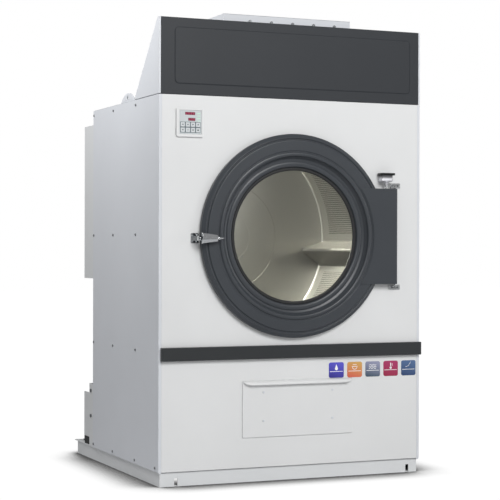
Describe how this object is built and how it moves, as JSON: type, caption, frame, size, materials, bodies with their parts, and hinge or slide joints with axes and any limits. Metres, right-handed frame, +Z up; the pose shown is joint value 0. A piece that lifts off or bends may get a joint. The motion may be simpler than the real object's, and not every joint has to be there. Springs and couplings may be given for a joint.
{
  "type": "tumble dryer",
  "caption": "Free-standing commercial tumble dryer with a round glazed side-hinged door, belt-driven drum, top heater box, exhaust fan and front lint drawer.",
  "frame": {"origin": "middle of the footprint, on the floor", "axes": "+Z up, front with the door towards -Y, +X to the right seen from the front"},
  "size_m": [1.3664, 1.414, 2.2],
  "materials": {
    "white_paint": "powder-coated sheet steel, semi-gloss",
    "charcoal_paint": "powder-coated sheet steel, satin charcoal",
    "band_black": "satin black paint",
    "door_grey": "satin blue-grey enamel on pressed steel",
    "frame_grey": "primer grey paint on steel section",
    "base_paint": "light grey paint on steel channel",
    "galvanised": "hot-dip galvanised sheet",
    "stainless": "rolled stainless sheet",
    "shaft_steel": "turned carbon steel",
    "zinc_screw": "zinc-plated steel fasteners",
    "chrome_latch": "polished chrome plate",
    "cast_pulley": "machined grey cast iron",
    "motor_paint": "painted cast housing",
    "fin_aluminium": "pressed fins",
    "toughened_glass": "clear toughened glass",
    "black_rubber": "moulded rubber",
    "belt_rubber": "fabric-faced belt",
    "white_bezel": "moulded ABS",
    "overlay_film": "printed polyester overlay",
    "key_grey": "moulded key caps",
    "badge_print": "printed badge, gloss lacquer",
    "black_plastic": "moulded nylon"
  },
  "bodies": {
    "cabinet": {"base_frame": "base_paint", "inner_frame": "frame_grey", "side_panels": "white_paint", "front_panel": "white_paint", "mouth_collar": "white_paint", "lower_front_panel": "white_paint", "trim_band": "band_black", "fascia_panel": "charcoal_paint", "hood_cheeks": "white_paint", "roof_panel": "galvanised", "rear_panel": "galvanised", "lifting_lugs": "white_paint", "heater_box": "white_paint", "heater_coil": "fin_aluminium", "cabinet_fasteners": "zinc_screw", "control_bezel": "white_bezel", "control_window": "overlay_film", "function_badges": "badge_print", "door_seal": "black_rubber", "hinge_brackets": "stainless", "hinge_pin": "shaft_steel", "latch_keeper": "chrome_latch", "door_switch": "chrome_latch", "drum_jacket": "galvanised", "bearing_housings": "cast_pulley", "drive_motor": "motor_paint", "motor_bracket": "base_paint", "rubber_mounts": "black_rubber", "belt_guard": "base_paint", "v_belts": "belt_rubber", "fan_housing": "galvanised", "fan_motor": "motor_paint", "supply_gland": "black_plastic"},
    "door": {"door_ring": "door_grey", "hinge_plate": "door_grey", "door_glass": "toughened_glass", "glass_gasket": "black_rubber", "glass_retainer": "stainless", "latch_base": "chrome_latch"},
    "latch": {"latch_handle": "chrome_latch"},
    "drum": {"drum_shell": "stainless", "drum_lifters": "stainless", "drum_shaft": "shaft_steel", "drum_pulley": "cast_pulley"},
    "jackshaft_set": {"jackshaft": "cast_pulley"},
    "motor_rotor": {"motor_pulley": "cast_pulley"},
    "fan": {"fan_impeller": "galvanised"},
    "lint_drawer": {"drawer_front": "white_paint", "drawer_tray": "galvanised", "lint_screen": "stainless", "drawer_screws": "zinc_screw"},
    "plunger": {"switch_plunger": "shaft_steel"},
    "key_1_body": {"key_1": "key_grey"},
    "key_2_body": {"key_2": "key_grey"},
    "key_3_body": {"key_3": "key_grey"},
    "key_4_body": {"key_4": "key_grey"},
    "key_5_body": {"key_5": "key_grey"},
    "key_6_body": {"key_6": "key_grey"},
    "key_7_body": {"key_7": "key_grey"},
    "key_8_body": {"key_8": "key_grey"}
  },
  "joints": [
    {"name": "door_hinge", "type": "hinge", "parent": "cabinet", "child": "door", "pos_m": [0.527, -0.653, 1.155], "axis": [0, 0, 1], "range_deg": [0, 170]},
    {"name": "latch_turn", "type": "hinge", "parent": "door", "child": "latch", "pos_m": [-0.447, -0.68, 1.142], "axis": [0, 1, 0], "range_deg": [0, 35], "stiffness_Nm_per_rad": 0.4, "springref_deg": -14.32},
    {"name": "drum_spin", "type": "hinge", "parent": "cabinet", "child": "drum", "pos_m": [0, -0.123, 1.155], "axis": [0, 1, 0], "continuous": true},
    {"name": "jackshaft_spin", "type": "hinge", "parent": "cabinet", "child": "jackshaft_set", "pos_m": [0, 0.437, 1.53], "axis": [0, 1, 0], "continuous": true},
    {"name": "motor_spin", "type": "hinge", "parent": "cabinet", "child": "motor_rotor", "pos_m": [0.5, 0.477, 1.65], "axis": [0, 1, 0], "continuous": true},
    {"name": "fan_spin", "type": "hinge", "parent": "cabinet", "child": "fan", "pos_m": [-0.2, 0.157, 0.3], "axis": [0, 1, 0], "continuous": true},
    {"name": "lint_drawer_slide", "type": "slide", "parent": "cabinet", "child": "lint_drawer", "axis": [0, -1, 0], "range_m": [0, 0.45]},
    {"name": "plunger_slide", "type": "slide", "parent": "cabinet", "child": "plunger", "axis": [0, 0, 1], "range_m": [0, 0.004], "stiffness_N_per_m": 300, "springref_m": -0.002},
    {"name": "key_1_press", "type": "slide", "parent": "cabinet", "child": "key_1_body", "axis": [0, 1, 0], "range_m": [0, 0.0012], "stiffness_N_per_m": 400, "springref_m": -0.0005},
    {"name": "key_2_press", "type": "slide", "parent": "cabinet", "child": "key_2_body", "axis": [0, 1, 0], "range_m": [0, 0.0012], "stiffness_N_per_m": 400, "springref_m": -0.0005},
    {"name": "key_3_press", "type": "slide", "parent": "cabinet", "child": "key_3_body", "axis": [0, 1, 0], "range_m": [0, 0.0012], "stiffness_N_per_m": 400, "springref_m": -0.0005},
    {"name": "key_4_press", "type": "slide", "parent": "cabinet", "child": "key_4_body", "axis": [0, 1, 0], "range_m": [0, 0.0012], "stiffness_N_per_m": 400, "springref_m": -0.0005},
    {"name": "key_5_press", "type": "slide", "parent": "cabinet", "child": "key_5_body", "axis": [0, 1, 0], "range_m": [0, 0.0012], "stiffness_N_per_m": 400, "springref_m": -0.0005},
    {"name": "key_6_press", "type": "slide", "parent": "cabinet", "child": "key_6_body", "axis": [0, 1, 0], "range_m": [0, 0.0012], "stiffness_N_per_m": 400, "springref_m": -0.0005},
    {"name": "key_7_press", "type": "slide", "parent": "cabinet", "child": "key_7_body", "axis": [0, 1, 0], "range_m": [0, 0.0012], "stiffness_N_per_m": 400, "springref_m": -0.0005},
    {"name": "key_8_press", "type": "slide", "parent": "cabinet", "child": "key_8_body", "axis": [0, 1, 0], "range_m": [0, 0.0012], "stiffness_N_per_m": 400, "springref_m": -0.0005}
  ],
  "couplings": [
    {"joint": "jackshaft_spin", "follows": "drum_spin", "ratio": 5},
    {"joint": "motor_spin", "follows": "drum_spin", "ratio": 24}
  ]
}
